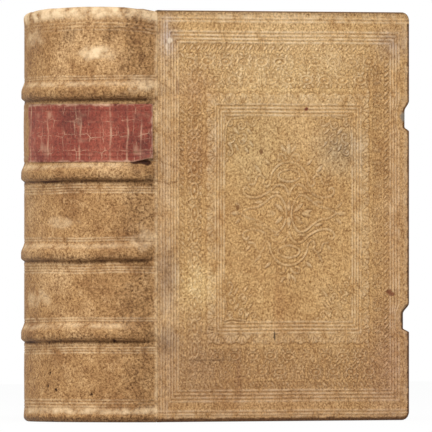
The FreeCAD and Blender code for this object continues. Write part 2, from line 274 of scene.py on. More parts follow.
def borderOrnament(u, z):
    # rows of stamped ornament between the two frames, run along each side and mitred
    inner, outer = tooling["innerFrame"], tooling["outerFrame"]
    trim = 2 * tooling["lineGap"]
    palm, ovals, leaves = tooling["palmette"], tooling["ovalRow"], tooling["leafRow"]
    sides = [  # distance out from the inner frame, place along the side, width of that side's border
        (inner[0] - u, z - tooling["centre"][1], inner[0] - outer[0] - trim),
        (u - inner[2], z - tooling["centre"][1], outer[2] - inner[2] - trim),
        (inner[1] - z, u - tooling["centre"][0], inner[1] - outer[1] - trim),
        (z - inner[3], u - tooling["centre"][0], outer[3] - inner[3] - trim),
    ]
    owner = np.stack([out / wide for out, _, wide in sides]).argmax(axis=0)
    inside = np.full(u.shape, -1.0)
    for k, (out, along, wide) in enumerate(sides):
        mine = (owner == k) & (out > 0.7) & (out < wide - 0.5)
        x, y = along[mine], out[mine]
        fan = palmetteCell(repeated(x, palm["pitch"]), y - 1.0, palm["high"])
        low, high = palm["high"] + 2.2, wide - leaves["high"] - 1.0
        rows = max(1, int(round((high - low) / ovals["high"])))
        rowHigh = (high - low) / rows
        row = np.clip(np.floor((y - low) / rowHigh), 0, rows - 1)
        shifted = repeated(x + row * ovals["pitch"] / 2, ovals["pitch"])
        size = min(1.0, rowHigh / ovals["high"])
        middle = ovalCell(shifted / size, (y - low - (row + 0.5) * rowHigh) / size) * size
        middle = np.where((y > low) & (y < high), middle, -1)
        lx = repeated(x, leaves["pitch"])
        ly = y - (wide - leaves["high"] - 0.4)
        spray = highest([
            leaf(lx, ly, (-1.9, 0.4), (1.2, 3.9), 0.62), leaf(lx, ly, (0.9, 0.5), (2.1, 2.5), 0.45),
            0.45 - np.hypot(lx + 1.5, ly - 3.3)])
        inside[mine] = highest([fan, middle, spray])
    return inside


def cornerOrnament(u, z):
    # a leafy corner piece, mirrored into the four corners of the inner panel
    left, low, right, high = tooling["innerFrame"]
    trim = 2 * tooling["lineGap"] + 1.0
    p = np.minimum(u - left, right - u) - trim
    q = np.minimum(z - low, high - z) - trim
    size = tooling["cornerSize"]
    inside = np.full(u.shape, -1.0)
    mine = (p > -0.5) & (q > -0.5) & (p < 1.3 * size) & (q < 1.3 * size)
    x, y = p[mine] / size, q[mine] / size
    parts = []
    stem = smoothLine([(0.02, 0.03), (0.22, 0.08), (0.42, 0.06), (0.72, 0.03)])
    for a, b in ((x, y), (y, x)):
        for centre, outer, turn, turns in (((0.56, 0.24), 0.18, 0.92, 1.25), ((0.98, 0.17), 0.14, 0.45, -1.2),
                                           ((0.66, 0.62), 0.13, 0.70, 1.1), ((0.20, 0.17), 0.11, 0.30, -1.1)):
            parts.append(0.024 - nearLine(a, b, spiral(centre, outer, 0.025, turn, turns, 30)))
        parts.append(0.022 - nearLine(a, b, stem))
        for start, end, wide in (((0.30, 0.32), (0.52, 0.52), 0.045), ((0.74, 0.34), (0.96, 0.50), 0.040),
                                 ((0.82, 0.66), (1.00, 0.84), 0.040), ((0.72, 0.10), (0.84, 0.30), 0.034),
                                 ((1.10, 0.12), (1.26, 0.04), 0.030)):
            parts.append(leaf(a, b, start, end, wide))
    inside[mine] = highest(parts) * size
    return inside


centrepiece = {  # straps and leaves of its upper right quarter, mirrored into the others
    "straps": [
        [(0.4, 9.2), (1.2, 11.6), (4, 14.2), (8.2, 14), (13, 11), (18.5, 8.6), (24, 8),
         (28.2, 9.6), (28.8, 12), (26.8, 13), (25.4, 11.6)],
        [(1.5, 0), (2.6, 4.6), (6.2, 8.8), (10.6, 8.6), (15.4, 5.6), (20.2, 3.2), (25.6, 2.4), (30.6, 0)],
        [(0, 26), (4.6, 25.2), (9, 22.4), (11.6, 18.6), (12, 15.2), (14.6, 13.6), (16.6, 15.4),
         (15.4, 17.4)],
        [(0, 15.8), (3.4, 16.4), (6.8, 18.2), (5.6, 20.8), (0, 22.2)],
        [(1.4, 27.4), (3.2, 29.6), (6.2, 29.6), (6.6, 27.2), (4.8, 26.8)],
        [(15.4, 17.4), (18, 19.6), (20.4, 18.2), (21.8, 15.2), (25.2, 14.6)],
    ],
    "leaves": [
        ((0, 1.2), (0, 7.6), 1.3), ((3.4, 1.2), (9.4, 5.4), 1.2), ((8, 0), (15.4, 1.6), 1),
        ((0, 29.5), (0, 37.5), 1.3), ((1.2, 30.6), (5.6, 34.8), 0.85), ((30.8, 0), (37.2, 0), 1.2),
        ((30, 2.6), (34.4, 5.6), 0.9), ((17.4, 20.4), (22.2, 24.8), 1), ((11, 24.2), (15.6, 27.6), 0.9),
        ((24.4, 16.2), (27.6, 19.2), 0.8), ((5.6, 10.4), (12, 11), 0.7), ((16.2, 6.2), (22.4, 5.2), 0.8),
        ((4.2, 31.8), (4, 35.6), 0.6),
    ],
    "strapHalf": 0.62,
}


def centreOrnament(u, z):
    x = np.abs(u - tooling["centre"][0])
    y = np.abs(z - tooling["centre"][1])
    inside = np.full(u.shape, -1.0)
    mine = (x < 39) & (y < 39)
    x, y = x[mine], y[mine]
    parts = [centrepiece["strapHalf"] - nearLine(x, y, smoothLine(line, 5)) for line in centrepiece["straps"]]
    parts += [leaf(x, y, start, end, wide) for start, end, wide in centrepiece["leaves"]]
    inside[mine] = highest(parts)
    return inside


notches = [  # low and high ends along the front fore-edge, and depth
    {"low": 44.3, "high": 59.1, "depth": 3.9},
    {"low": 145.8, "high": 161.3, "depth": 2.9},
]


def notchDepth(z):
    depth = np.zeros_like(z)
    for notch in notches:
        rise = smooth(notch["low"], notch["low"] + 2.2, z)
        fall = 1 - smooth(notch["high"] - 5.4, notch["high"], z)
        depth = np.maximum(depth, notch["depth"] * rise * fall)
    return depth


coverShape = {
    "inset": 1.0,                                 # from the face's flat part to the free edges
    "jointEdge": 0.08,
    "spacing": {"front": (0.30, 0.46), "back": (0.42, 0.82)},     # between vertices: fine, coarse
    "sink": 0.42,                                 # how far the flat part lies under the CAD skin
    "boardStart": 3.0,
    "cornerRound": 3.4,                           # rounding of the two outer corners
    "cracks": [  # fine cracks of the front cover beside the joint: across, height
        [(0.5, 170.8), (5.6, 167.9), (10.9, 164.4)], [(1.3, 120.2), (7.7, 119.1), (13.0, 120.4)],
        [(0.8, 131.2), (4.5, 129.2), (11.0, 127.8), (14.5, 126.1)]],
    "edgeRows": [  # out from the flat part, depth under the CAD skin, wear, darkening
        (0.42, 0.70, 0.2, 0.95), (0.76, 1.15, 0.2, 0.95), (0.93, 1.80, 0.2, 0.80), (0.96, 3.2, 0.3, 0.60),
        (0.94, 5.0, 0.3, 0.5), (0.82, 6.1, 0.5, 0.4), (0.45, 6.62, 0.6, 0.3), (-0.3, 6.78, 0.4, 0.3),
        (-6.5, 6.76, 0.2, 0.3), (-14.5, 6.76, 0.2, 0.3)],
}


def fineRanges(first, outer, inner, end):
    # where a cover needs close stations: at its ends and along the lines of both frames
    wide = 2 * tooling["lineGap"] + 0.6
    return [(0, first), (outer[0] - 0.6, outer[0] + wide), (inner[0] - 0.6, inner[0] + wide),
            (inner[1] - wide, inner[1] + 0.6), (outer[1] - wide, outer[1] + 0.6), (end - 5.5, end)]


def coverPiece(name, side, material, reach=(0, 1)):
    # one cover's skin, or the share of it between two heights: tooled face, edges and turn-ins
    sign = -1 if side == "front" else 1
    width, height, inset = book["width"], book["height"], coverShape["inset"]
    outer, inner = tooling["outerFrame"], tooling["innerFrame"]
    acrossFine = fineRanges(6, outer[0::2], inner[0::2], width)
    upFine = fineRanges(5.5, outer[1::2], inner[1::2], height)
    across = stations(coverShape["jointEdge"], width - inset, acrossFine, *coverShape["spacing"][side])
    up = stations(inset, height - inset, upFine, *coverShape["spacing"][side])
    ends = [int(np.abs(up - share * height).argmin()) for share in reach]
    bm, u, z = newGrid(across, up[ends[0]:ends[1] + 1])

    seed = 11 if side == "front" else 57

    def wave(size, k):
        return unevenness(u, z, size, seed + k)

    lines, ridges = filletLines(u + 0.15 * unevenness(z, u, 23, seed), z + 0.15 * wave(23, 1))
    softU = u + 0.22 * wave(17, 2)
    softZ = z + 0.22 * wave(17, 3)
    ornaments = (borderOrnament, centreOrnament, cornerOrnament)
    inside = highest([ornament(softU, softZ) for ornament in ornaments])
    raised = smooth(-0.05, 0.35, inside)
    outline = groove(inside + 0.28, 0.30)
    strength = 0.85 + 0.28 * wave(24, 4) + 0.22 * wave(8, 5)
    strength = np.clip(strength, 0.3, 1.15)
    depth = coverShape["sink"] + tooling["lineDepth"] * lines * (0.6 + 0.4 * strength)
    depth -= tooling["ridge"] * ridges
    depth += strength * (tooling["outline"] * outline - tooling["relief"] * raised)
    depth += 0.10 * wave(31, 6) + 0.06 * wave(10, 7)

    # soft ridges where the supports are laced under the skin, and a shallow hinge
    ridge = np.zeros_like(u)
    for bandZ in bands["heights"]:
        rising = (z - bandZ - 0.10 * u) / 4.4
        ridge = np.maximum(ridge, groove(rising, 1.0) * (1 - smooth(4.0, 15.0, u)))
    depth -= 0.32 * ridge
    depth += 0.25 * groove(u, 0.8)
    toEdge = np.minimum(np.minimum(z, height - z), width - u)
    depth += 0.14 * (1 - smooth(1.2, 4.0, toEdge))
    if side == "front":
        crack = np.zeros_like(u)
        for line in coverShape["cracks"]:
            crack = np.maximum(crack, groove(nearLine(u, z + 0.5 * wave(2.4, 12), line), 0.30))
        depth += 0.30 * crack
        outline = np.maximum(outline, 1.4 * crack)
    x = u
    if side == "front":
        cut = notchDepth(z)
        depth += 0.35 * cut / notches[0]["depth"] * smooth(width - 11, width - 7, u)
        x = u - cut * smooth(width - 13, width - inset, u)
    depth = np.maximum(depth, 0.04)

    # the outer corners are rounded: squares drawn in to circles
    bend = coverShape["cornerRound"]
    cx = np.clip(u - (width - inset - bend), 0, None)
    cz = np.maximum(np.clip(z - (height - inset - bend), 0, None), np.clip(inset + bend - z, 0, None))
    draw = np.maximum(cx, cz) / np.maximum(np.hypot(cx, cz), 1e-9)
    draw = np.where((cx > 0) & (cz > 0), draw, 1.0)
    x = x - cx * (1 - draw)
    upright = np.where(z > height / 2, 1.0, -1.0)
    zNow = z - upright * cz * (1 - draw)

    wear = highest([0.60 * (1 - smooth(1.2, 6.0, toEdge + 1.6 * wave(7, 8))),
                    0.22 * (1 - smooth(1.0, 9.0, u + 3 * unevenness(z, u, 12, seed + 9))),
                    0.85 * ridges * (0.75 + 0.25 * wave(6, 10)), 0.42 * raised * strength])
    shade = np.clip(0.42 * lines + 0.66 * outline * strength, 0, 1)
    # the skin darkens along the joint, beside the laced ridges near it, along its free edges and over the
    # board's edge, less at the head
    rim = 1 - smooth(inset + 0.4, inset + 1.7, toEdge + 0.3 * wave(3, 11))
    rim *= np.where(z > height - 6, 0.6, 1.0)
    grime = np.maximum(0.12 * groove(u, 0.5) + 0.20 * ridge * groove(u - 2, 4), 0.95 * rim)
    keepValues(bm, shade=shade, wear=wear * (1 - rim), grime=grime)
    moveVerts(bm, book["jointX"] + x, sign * (book["halfThickness"] - depth), zNow)

    # which way each free edge faces, carried along as the edges are pulled round the board
    outward = bm.verts.layers.float_vector.new("outward")
    home = bm.verts.layers.float_vector.new("home")
    for vert, uu, zz, ox, oz, way in zip(bm.verts, u, z, cx, cz, upright):
        edge = Vector((float(uu > width - inset - 1e-6), 0,
                       float(zz > height - inset - 1e-6) - float(zz < inset + 1e-6)))
        if edge.length > 0.5 and ox > 0 and oz > 0:
            edge = Vector((ox, 0, way * oz)).normalized()
        vert[outward] = edge
        vert[home] = vert.co
    shadeLayer, wearLayer, grimeLayer = [bm.verts.layers.float[n] for n in ("shade", "wear", "grime")]
    jointSide = [e for e in bm.edges if e.is_boundary
                 and all(v.co.x < (book["jointX"] + coverShape["jointEdge"] + 0.01) * mm for v in e.verts)]
    row = [e for e in bm.edges if e.is_boundary and all(v[outward].length > 0.5 for v in e.verts)]
    for out, inward, worn, edgeDarkening in coverShape["edgeRows"]:
        def place(vert):
            beside = vert[home].x < (book["jointX"] + coverShape["boardStart"]) * mm
            vert[shadeLayer], vert[wearLayer], vert[grimeLayer] = 0.0, worn, edgeDarkening
            move = vert[outward] * out * mm
            depthHere = min(inward, 1.0) if beside else inward       # only the skin beside the joint
            return Vector((vert[home].x + move.x, sign * (book["halfThickness"] - depthHere) * mm,
                           vert[home].z + move.z))
        row = extrudeRow(bm, row, place)
    for out in (0.0, 2.6):
        def placeJoint(vert):
            # the walls of the gap at the joint are darkened: painted shade
            vert[grimeLayer] = 0.7
            return Vector((vert.co.x + out * mm, sign * (book["halfThickness"] - 1.0) * mm, vert.co.z))
        jointSide = extrudeRow(bm, jointSide, placeJoint)
    for layerName in ("outward", "home"):
        bm.verts.layers.float_vector.remove(bm.verts.layers.float_vector[layerName])
    return finishPiece(bm, name, side + "_cover", [side + "_cover_leather"], material,
                       flip=side == "back")


# The spine: shell, raised bands, rolled caps

spineShape = {
    "endAngle": 69.85,
    "columns": 250,
    "spacing": (0.42, 0.9),
    "wallSink": 0.06,
    "rollRadius": 2.6,
    "rollProud": 0.28,
    "linesAbove": [5.5, 6.7],                     # fillets beside each band, from its middle
    "linesBelow": [6.7, 8.0, 9.3],
    "headLines": [4.6, 6.3, 8.0],                 # fillets below the head cap, from its roll's centre
    "tailLines": [4.6, 6.2, 7.8],
    "lineDepth": 0.24,
    "lineWidth": 0.34,
    "backBulge": 0.6,                             # the leather stands off more towards the back
}
capOutline = {  # height of the head cap round the spine, worn lower towards the back
    "angle": [-70, -52, -38, -20, 0, 20, 36, 50, 62, 70],
    "top": [204.6, 204.2, 204.5, 205.6, 206.8, 207.6, 207.75, 207.5, 206.5, 205.2],
}


def backShare(angle):
    # 1 along the back half of the spine, where the panels are fuller and the bands flatter
    return smooth(-12, -26, angle) * (1 - smooth(-54, -64, angle))


def bandRise(angle, z):
    # height of the raised bands, with masks for their undersides (painted shade with some dirt), their tops
    # (rubbed, and lighter as painted highlight), fillets and ridges
    rise, under, top, lines, ridges = [np.zeros_like(z) for _ in range(5)]
    for k, bandZ in enumerate(bands["heights"]):
        centre = bandZ + bands["slant"] * (angle - 16) + 0.30 * unevenness(angle, angle * 0, 24, 70 + k)
        t = (z - centre) / bands["halfWidths"][k]
        shape = np.where(t > 0, 1 - smooth(0.05, 1.15, t), 1 - smooth(0.50, 0.95, -t))
        rise = np.maximum(rise, bands["rise"] * shape)
        # the lower half of each band is darkened and its foot darker still: painted shade, with some dirt
        lowerHalfShadeAndDirt = 0.76 * smooth(0.30, -0.70, t) * (t > -1.05)
        under = highest([under, 1.2 * groove(t + 0.87, 0.22), lowerHalfShadeAndDirt])
        # a lighter upper slope and a thin pale line below the foot: partly rubbed, partly painted highlight
        top = highest([top, groove(t - 0.72, 0.26), 0.7 * groove(t + 1.24, 0.09)])
        for way, insets in ((1, spineShape["linesAbove"]), (-1, spineShape["linesBelow"])):
            for inset in insets:
                away = way * (z - centre) - inset
                lines = np.maximum(lines, groove(away, spineShape["lineWidth"]))
                ridges = np.maximum(ridges, groove(away - 0.65, 0.34))
        # the crease at each band's foot is drawn as a dark line: painted shade
        lines = np.maximum(lines, 1.5 * groove(t + 0.87, 0.11))
    return rise, under, top, lines, ridges


def spinePiece(material):
    height, radius = book["height"], book["radius"]
    roll, end = spineShape["rollRadius"], spineShape["endAngle"]
    wallLow, wallHigh = roll, height - roll + 0.6
    upFine = [(bandZ - 10.5, bandZ + 10.5) for bandZ in bands["heights"]]
    upFine += [(-6, 12), (height - 13, height + 8)]
    up = stations(wallLow - 2.55 * roll, wallHigh + 2.75 * roll, upFine, *spineShape["spacing"])
    bm, angle, v = newGrid(np.linspace(-end, end, spineShape["columns"]), up)

    capTop = np.interp(angle, capOutline["angle"], capOutline["top"]) + 0.10 * unevenness(angle, v * 0, 9, 5)
    headCentre = capTop - roll
    bend = 18.0
    z = np.where(v > wallHigh - bend,
                 wallHigh - bend + (v - wallHigh + bend) * (headCentre - wallHigh + bend) / bend, v)
    rise, under, bandTopRubAndHighlight, lines, ridges = bandRise(angle, z)
    headGap, tailGap = headCentre - z, z - wallLow
    for gap, insets, share, ridgeShare in ((headGap, spineShape["headLines"], 0.55, 0.5),
                                           (tailGap, spineShape["tailLines"], 1, 1)):
        for inset in insets:
            lines = np.maximum(lines, share * groove(gap - inset, spineShape["lineWidth"]))
            ridges = np.maximum(ridges, ridgeShare * groove(gap - inset - 0.8, 0.36))
    fade = (1 - smooth(60, 70, np.abs(angle))) * (1 - 0.44 * backShare(angle))
    strength = np.clip(0.75 + 0.35 * unevenness(angle, z, 21, 81), 0.25, 1)
    r = radius - spineShape["wallSink"] + rise * fade - spineShape["lineDepth"] * lines * strength
    r += spineShape["backBulge"] * backShare(angle)
    r += 0.12 * unevenness(angle * 0.9, z, 27, 82) + 0.05 * unevenness(angle * 0.9, z, 8, 83)
    proud = spineShape["rollProud"]
    r += proud * groove(headGap, 2.2) + proud * groove(tailGap, 2.2)

    # round the two rolls
    outer = radius - spineShape["wallSink"] + proud + spineShape["backBulge"] * backShare(angle)
    for centre, past, way in ((headCentre, v - wallHigh, 1), (wallLow, wallLow - v, -1)):
        turn = np.clip(past / roll, 0, None)
        r = np.where(turn > 0, outer - roll + roll * np.cos(turn), r)
        z = np.where(turn > 0, centre + way * roll * np.sin(turn), z)
    dent = 0.35 * np.clip(unevenness(angle, z * 0, 6.5, 91), 0, 1)
    z = z - dent * np.sin(np.clip((v - wallHigh) / roll, 0, pi))
    z = np.clip(z, 0.03, book["capTop"] - 0.02)

    flat = (book["halfThickness"] - 0.04) / np.maximum(np.sin(np.radians(np.abs(angle))), 0.2)
    r = np.minimum(r, flat)
    a = np.radians(angle)
    x = book["centreX"] - r * np.cos(a)
    x = np.minimum(x, book["jointX"] - 0.08)
    y = -r * np.sin(a)

    def wave(size, seed):
        return unevenness(angle, z, size, seed)

    # rubbed caps and patches; band tops rubbed and lighter, partly as painted highlight; painted shade with
    # some dirt under the bands; dirt towards the front joint; darker under the tail roll; wormholes
    fromMiddle = np.abs(angle)
    tailWear = 0.8 * smooth(6.0, 3.5, tailGap) * smooth(0.8, 2.4, tailGap)
    capWear = np.maximum(1.1 * smooth(5.0, 0.5, headGap), tailWear)
    wear = highest([0.50 * bandTopRubAndHighlight * (1 - smooth(44, 64, fromMiddle)), capWear * (0.90 + 0.25 * wave(8, 92)),
                    0.75 * ridges * strength, 0.55 * smooth(67.2, 69, fromMiddle),
                    blots(angle, z, wornPatches, 0.45, 0.35 * wave(5, 93))])
    # painted shade, with some dirt, on the lower halves and feet of the bands
    underBandShadeAndDirt = np.clip(under, 0, 1) * (0.88 + 0.12 * wave(8, 94)) * (1 - smooth(62, 68, fromMiddle))
    soiled = smooth(46, 60, angle + 6 * unevenness(z, angle, 11, 96)) * (1 - smooth(66.5, 69, angle))
    grime = highest([underBandShadeAndDirt, 0.52 * soiled * (0.8 + 0.2 * wave(2.5, 97)), 0.80 * smooth(1.0, -0.6, tailGap),
                     blots(angle, z, dirtAndShadeSpots, 0.3, 0.5 * wave(4, 95))])
    # wormholes: sunk into the skin and darkened inside with painted shade
    for holeAngle, holeZ in wormholes:
        d = np.hypot((angle - holeAngle) * perDegree, z - holeZ)
        sunk = 0.8 * (1 - smooth(0.35, 0.75, d))
        x += sunk * np.cos(a)
        y += sunk * np.sin(a)
        hole = 1 - smooth(0.75, 1.15, d)
        grime = np.maximum(grime, hole)
        lines = np.maximum(lines, 2.4 * hole)
    shade = 0.62 * lines * strength
    keepValues(bm, shade=np.clip(shade, 0, 1), wear=np.clip(wear, 0, 1), grime=np.clip(grime, 0, 1))
    moveVerts(bm, x, y, z)

    # the skin's thickness where it ends at the joints
    ends = [e for e in bm.edges if e.is_boundary and all(abs(v.co.y) > 44 * mm for v in e.verts)
            and abs(e.verts[0].co.z - e.verts[1].co.z) > 0.02 * mm]

    def placeEnd(vert):
        return Vector((vert.co.x, vert.co.y - np.sign(vert.co.y) * 1.1 * mm, vert.co.z))
    extrudeRow(bm, ends, placeEnd)
    return finishPiece(bm, "spineSkin", "text_block_and_spine", ["spine_leather"], material)


# places on the spine: angle, height, half angle, half height, strength
wornPatches = [
    (36, 184.5, 14, 3.9, 1), (-14, 192, 12, 6, 0.45), (60, 169, 8, 5, 0.7), (62, 92, 7, 7, 0.5),
    (12, 100, 16, 3, 0.35), (-10, 62, 14, 5, 0.35),
]
# dark spots: dirt on the panels, painted shade in the notches under the band ends by the joint and on the
# lower halves of the first two bands, and the painted shadow under the label's lifted corner
dirtAndShadeSpots = [
    (16, 192.5, 9, 5, 0.5), (42, 194.5, 7, 6.5, 0.6), (50, 163, 12, 3, 0.75), (52, 122, 11, 2.8, 0.6),
    (61, 130.2, 8.5, 2.5, 1.5), (64, 160, 5, 5, 0.8), (65, 122, 4, 6, 0.8), (65, 82, 4, 6, 0.7),
    (65, 42, 4, 6, 0.7), (-20, 112, 15, 3, 0.25),
]
wormholes = [(3.7, 24.6), (1.8, 18.1), (8.5, 16.1), (32.2, 14), (45.5, 40.8)]


def blots(angle, z, places, core, wander):
    # the strongest of several uneven patches at each place
    amount = 0.0
    for midAngle, midZ, halfAngle, halfHigh, strength in places:
        d = np.hypot((angle - midAngle) / halfAngle, (z - midZ) / halfHigh)
        amount = np.maximum(amount, strength * (1 - smooth(core, 1.1, d + wander)))
    return amount


# The red label, bare of lettering

label = {
    "endAngle": 67.0,
    "lift": 1.7,                                  # how far its lower front corner has come away
    "cracks": [-16.4, 2.3, 25.4, 43.2, 52.8, 60.1],
    "lines": [3.2, 24.2, 26.4],                   # tooled lines, down from its top edge
    "thickness": 0.45,
    "columns": 320,
    "rows": 78,
}


def labelPiece(material):
    low, high = labelLow.z + 0.2, labelHigh.z - 0.2
    angleSteps = np.linspace(-label["endAngle"], label["endAngle"], label["columns"])
    bm, angle, z = newGrid(angleSteps, np.linspace(low, high, label["rows"]))
    x, y = angle * perDegree, z

    def wave(size, seed):
        return unevenness(x, y, size, seed)

    lines = np.zeros_like(z)
    for inset in label["lines"]:
        lines = np.maximum(lines, groove(high - z - inset + 0.15 * wave(14, 31), 0.36))
    crack = np.zeros_like(z)
    for k, place in enumerate(label["cracks"]):
        bent = angle - place + 0.9 * unevenness(z, z * 0 + k * 9, 6, 32 + k)
        whole = 1.0 if k == 0 else 0.45 + 0.45 * unevenness(z, z * 0, 5, 42 + k)
        crack = np.maximum(crack, groove(bent, 0.42) * whole)
    rubbed = smooth(0.25, 0.75, 0.5 * wave(9, 33) + 0.5 * wave(3.2, 34))
    toSide = label["endAngle"] - np.abs(angle)
    toEdge = np.minimum(np.minimum(z - low, high - z), toSide * 0.9)
    ragged = 1 - smooth(0.1, 1.2, toEdge + 0.7 * wave(2.6, 35))
    # rubbed through to the calf along the back of the spine, and dulled where the title was
    bare = smooth(-18.0, -22.0, angle + 1.5 * unevenness(z, angle, 5, 37))
    bare *= smooth(-54, -44, angle + 3 * unevenness(z, angle, 7, 38))
    dull = groove(np.hypot((angle - 22) / 42, (z - labelLow.z - 17) / 9), 1)
    dull *= smooth(-0.2, 0.7, wave(4.5, 39))
    pale = np.clip(highest([crack, 0.85 * ragged, 0.4 * rubbed]), 0, 1)
    r = book["radius"] + 0.30 + 0.12 * wave(7, 36) - 0.14 * lines - 0.16 * crack - 0.12 * rubbed
    r += spineShape["backBulge"] * backShare(angle) - 0.18 * (1 - smooth(0, 0.9, toEdge)) - 0.1 * bare
    peeled = 1 - smooth(0.0, 1.0, np.hypot((angle - label["endAngle"]) / 13.0, (z - low) / 7.5))
    r += label["lift"] * peeled
    r = np.maximum(r, book["radius"] + 0.02)
    a = np.radians(angle)
    # the lifted corner has also shrunk back
    z = z + 2.0 * peeled
    r = np.minimum(r, (book["halfThickness"] - 0.03) / np.maximum(np.sin(np.abs(a)), 0.2))
    grime = np.maximum(0.35 * (1 - smooth(0, 0.8, toEdge)), 0.42 * dull)
    keepValues(bm, shade=0.7 * lines, wear=pale, grime=grime, along=x, bare=bare)
    moveVerts(bm, book["centreX"] - r * np.cos(a), -r * np.sin(a), z)
    rim = [e for e in bm.edges if e.is_boundary]

    def placeRim(vert):
        away = Vector((vert.co.x - book["centreX"] * mm, vert.co.y, 0))
        return vert.co - away.normalized() * label["thickness"] * mm
    extrudeRow(bm, rim, placeRim)
    return finishPiece(bm, "titleLabel", "text_block_and_spine", ["title_label"], material)


# Endbands: thread wound round a core

endband = {"radius": 1.45, "wraps": 168, "endAngle": 60.5, "sink": 0.12, "columns": 1009, "around": 15}


def endbandPiece(name, node, material):
    low, high = [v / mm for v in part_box(node)]
    centreZ = (low.z + high.z) / 2
    ringRadius = book["centreX"] - low.x - endband["radius"]
    angleSteps = np.linspace(-endband["endAngle"], endband["endAngle"], endband["columns"])
    bm, angle, turn = newGrid(angleSteps, np.linspace(0, 360, endband["around"]))
    winding = (angle / (2 * endband["endAngle"]) + 0.5) * endband["wraps"] + turn / 360
    thread = np.abs(np.sin(pi * winding))
    stripe = (np.floor(winding / 6) % 2).astype(float)
    tube = endband["radius"] - endband["sink"] * (1 - thread)
    tube *= np.where(np.abs(angle) > endband["endAngle"] - 0.2, 0.05, 1)
    a, t = np.radians(angle), np.radians(turn)
    r = ringRadius + tube * np.cos(t)
    keepValues(bm, stripe=stripe, shade=1 - thread)
    moveVerts(bm, book["centreX"] - r * np.cos(a), -r * np.sin(a), centreZ + tube * np.sin(t))
    bmesh.ops.remove_doubles(bm, verts=bm.verts, dist=0.001 * mm)
    bmesh.ops.recalc_face_normals(bm, faces=bm.faces)
    return finishPiece(bm, name, "text_block_and_spine", [node], material)


# Shader nodes

def feed(socket, value):
    # joins another node's socket, or sets a number, a vector or a colour
    if isinstance(value, bpy.types.NodeSocket):
        socket.id_data.links.new(value, socket)
    else:
        socket.default_value = (*value, 1.0) if socket.type == "RGBA" else value


def newNode(kind, inputs, tree=None, **settings):
    # a node in the given tree, or else in the one that its inputs come from
    tree = tree or next(v for v in inputs.values() if isinstance(v, bpy.types.NodeSocket)).id_data
    node = tree.nodes.new("ShaderNode" + kind)
    for name, value in settings.items():
        setattr(node, name, value)
    for name, value in inputs.items():
        feed(node.inputs[name], value)
    return node


def noiseField(vector, scale, detail=4.0, rough=0.55, stretch=None):
    # a noise texture in metres, stretched when asked
    if stretch:
        vector = newNode("Mapping", {"Scale": stretch, "Vector": vector}).outputs["Vector"]
    inputs = {"Scale": scale, "Detail": detail, "Roughness": rough, "Vector": vector}
    return newNode("TexNoise", inputs).outputs["Fac"]


def cells(vector, scale, feature, randomness=1.0, dimensions="3D"):
    inputs = {"Scale": scale, "Randomness": randomness, "Vector": vector}
    return newNode("TexVoronoi", inputs, feature=feature,
                   voronoi_dimensions=dimensions).outputs["Distance"]


def ramp(value, low, high, bottom=0.0, top=1.0):
    inputs = {"Value": value, "From Min": low, "From Max": high, "To Min": bottom, "To Max": top}
    return newNode("MapRange", inputs, clamp=True).outputs["Result"]


def calc(operation, *values):
    return newNode("Math", dict(enumerate(values)), operation=operation).outputs[0]


def times(first, second):
    return calc("MULTIPLY", first, second)


def plus(first, second):
    return calc("ADD", first, second)


def mix(factor, first, second, blend="MIX"):
    inputs = {0: factor, 6: first, 7: second}
    return newNode("Mix", inputs, data_type="RGBA", blend_type=blend).outputs[2]


def tinted(colour, tint):
    return mix(1.0, colour, tint, "MULTIPLY")


def layered(colour, layers):
    # lays tints over a colour, each as strong as its field between low and high says
    for field, low, high, most, tint in layers:
        colour = mix(ramp(field, low, high, 0.0, most), colour, tint)
    return colour


def meshValue(place, name):
    node = newNode("Attribute", {}, place.id_data, attribute_name=name, attribute_type="GEOMETRY")
    return node.outputs["Fac"]


def newMaterial(name, specular):
    material = bpy.data.materials.new(name)
    material.use_nodes = True
    tree = material.node_tree
    feed(tree.nodes["Principled BSDF"].inputs["Specular IOR Level"], specular)
    return material, newNode("TexCoord", {}, tree).outputs["Object"]


def finishMaterial(material, colour, rough, height=None, strength=0.0, distance=0.0):
    tree = material.node_tree
    shader = tree.nodes["Principled BSDF"].inputs
    feed(shader["Base Color"], colour)
    feed(shader["Roughness"], rough)
    if height:
        bump = newNode("Bump", {"Strength": strength, "Distance": distance, "Height": height})
        feed(shader["Normal"], bump.outputs["Normal"])
    return material
